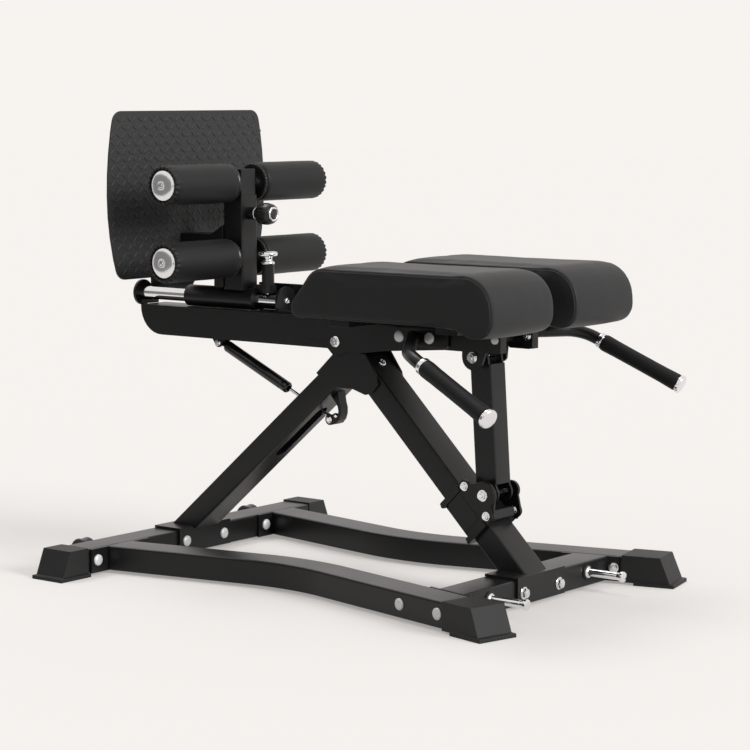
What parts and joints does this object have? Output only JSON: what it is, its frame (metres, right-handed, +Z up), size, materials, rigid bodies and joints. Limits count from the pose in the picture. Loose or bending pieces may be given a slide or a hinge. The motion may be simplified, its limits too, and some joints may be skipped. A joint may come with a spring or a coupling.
{
  "type": "back extension machine",
  "caption": "Free-standing steel back extension machine with a tilting beam, thigh pads, handles and a sliding foot carriage with foam rollers.",
  "frame": {"origin": "on the floor, under the middle of the machine's bounding box", "axes": "+X towards the thigh pads and handles, +Y to the left of a user who faces +X, +Z up"},
  "size_m": [1.1706, 0.861, 0.9355],
  "materials": {
    "powder_coat": "satin black powder coat with a fine orange peel",
    "chrome": "polished chrome plate",
    "rubber": "matt moulded rubber",
    "plastic": "satin moulded plastic",
    "vinyl": "charcoal upholstery vinyl with a fine grain",
    "foam": "closed-cell foam with a smooth skin",
    "textured_plate": "powder-coated steel with a fine non-slip texture"
  },
  "bodies": {
    "frame": {"rear_cross_beam": "powder_coat", "front_cross_beam": "powder_coat", "left_side_rail": "powder_coat", "right_side_rail": "powder_coat", "rear_strut": "powder_coat", "front_strut": "powder_coat", "left_gusset": "powder_coat", "right_gusset": "powder_coat", "spring_hook": "powder_coat", "left_wheel_bracket": "powder_coat", "right_wheel_bracket": "powder_coat", "rear_left_foot": "rubber", "rear_right_foot": "rubber", "front_left_foot": "rubber", "front_right_foot": "rubber", "left_band_peg": "chrome", "right_band_peg": "chrome", "spring_foot_bolt": "chrome"},
    "left_wheel": {"left_transport_wheel": "plastic"},
    "right_wheel": {"right_transport_wheel": "plastic"},
    "beam": {"main_beam": "powder_coat", "pivot_bolt": "chrome", "link_top_bolt": "chrome", "spring_top_bolt": "chrome", "rear_pad_bracket": "powder_coat", "front_pad_bracket": "powder_coat", "left_thigh_pad": "vinyl", "right_thigh_pad": "vinyl", "left_handle": "powder_coat", "right_handle": "powder_coat", "left_grip_ring": "chrome", "right_grip_ring": "chrome", "left_grip": "rubber", "right_grip": "rubber", "left_grip_cap": "chrome", "right_grip_cap": "chrome", "slide_rail": "chrome", "rear_rail_plate": "powder_coat", "front_rail_plate": "powder_coat"},
    "link_body": {"link": "powder_coat"},
    "carriage": {"carriage_sleeve": "powder_coat", "carriage_pivot_bolt": "chrome"},
    "release": {"release_bar": "powder_coat"},
    "spring_cylinder": {"gas_cylinder": "powder_coat"},
    "spring_rod": {"gas_rod": "chrome"},
    "foot_slider": {"foot_carriage": "powder_coat", "foot_plate": "textured_plate", "foot_plate_arm": "powder_coat", "lower_axle": "chrome"},
    "height_slider": {"height_tube": "powder_coat", "upper_axle": "chrome"},
    "knob": {"height_knob": "plastic"},
    "pin": {"slide_pin": "chrome"},
    "roller_lower_left": {"lower_left_roller": "foam"},
    "roller_lower_right": {"lower_right_roller": "foam"},
    "roller_upper_left": {"upper_left_roller": "foam"},
    "roller_upper_right": {"upper_right_roller": "foam"}
  },
  "joints": [
    {"name": "tilt", "type": "hinge", "parent": "frame", "child": "beam", "pos_m": [-0.0118, 0, 0.479], "axis": [0, -1, 0], "range_deg": [0, 20]},
    {"name": "link_swing", "type": "hinge", "parent": "beam", "child": "link_body", "pos_m": [0.3252, 0, 0.4695], "axis": [0, 1, 0], "range_deg": [0, 44]},
    {"name": "carriage_travel", "type": "slide", "parent": "frame", "child": "carriage", "axis": [-0.7059, 0, 0.7083], "range_m": [0, 0.176]},
    {"name": "release_pull", "type": "slide", "parent": "carriage", "child": "release", "axis": [0.7083, 0, 0.7059], "range_m": [0, 0.0075], "stiffness_N_per_m": 400},
    {"name": "spring_cylinder_turn", "type": "hinge", "parent": "beam", "child": "spring_cylinder", "pos_m": [-0.3567, 0, 0.4528], "axis": [0, -1, 0], "range_deg": [-1, 1]},
    {"name": "spring_rod_turn", "type": "hinge", "parent": "frame", "child": "spring_rod", "pos_m": [-0.0573, 0, 0.3144], "axis": [0, -1, 0], "range_deg": [0, 20]},
    {"name": "foot_travel", "type": "slide", "parent": "beam", "child": "foot_slider", "axis": [1, 0, 0], "range_m": [-0.092, 0.02]},
    {"name": "roller_height", "type": "slide", "parent": "foot_slider", "child": "height_slider", "axis": [0, 0, 1], "range_m": [-0.015, 0.06]},
    {"name": "knob_pull", "type": "slide", "parent": "foot_slider", "child": "knob", "axis": [1, 0, 0], "range_m": [0, 0.008], "stiffness_N_per_m": 400},
    {"name": "pin_pull", "type": "slide", "parent": "foot_slider", "child": "pin", "axis": [0, 0, 1], "range_m": [0, 0.013], "stiffness_N_per_m": 400},
    {"name": "lower_left_roll", "type": "hinge", "parent": "foot_slider", "child": "roller_lower_left", "pos_m": [-0.3033, 0.13, 0.633], "axis": [0, 1, 0], "continuous": true},
    {"name": "lower_right_roll", "type": "hinge", "parent": "foot_slider", "child": "roller_lower_right", "pos_m": [-0.3033, -0.13, 0.633], "axis": [0, 1, 0], "continuous": true},
    {"name": "upper_left_roll", "type": "hinge", "parent": "height_slider", "child": "roller_upper_left", "pos_m": [-0.3033, 0.13, 0.788], "axis": [0, 1, 0], "continuous": true},
    {"name": "upper_right_roll", "type": "hinge", "parent": "height_slider", "child": "roller_upper_right", "pos_m": [-0.3033, -0.13, 0.788], "axis": [0, 1, 0], "continuous": true},
    {"name": "left_wheel_roll", "type": "hinge", "parent": "frame", "child": "left_wheel", "pos_m": [-0.5121, 0.26, 0.0305], "axis": [0, 1, 0], "continuous": true},
    {"name": "right_wheel_roll", "type": "hinge", "parent": "frame", "child": "right_wheel", "pos_m": [-0.5121, -0.26, 0.0305], "axis": [0, 1, 0], "continuous": true}
  ],
  "couplings": [
    {"joint": "link_swing", "follows": "tilt", "ratio": 2.195},
    {"joint": "carriage_travel", "follows": "tilt", "m_per_rad": 0.502},
    {"joint": "spring_rod_turn", "follows": "tilt", "ratio": 0.985},
    {"joint": "spring_cylinder_turn", "follows": "tilt", "ratio": -0.02}
  ]
}
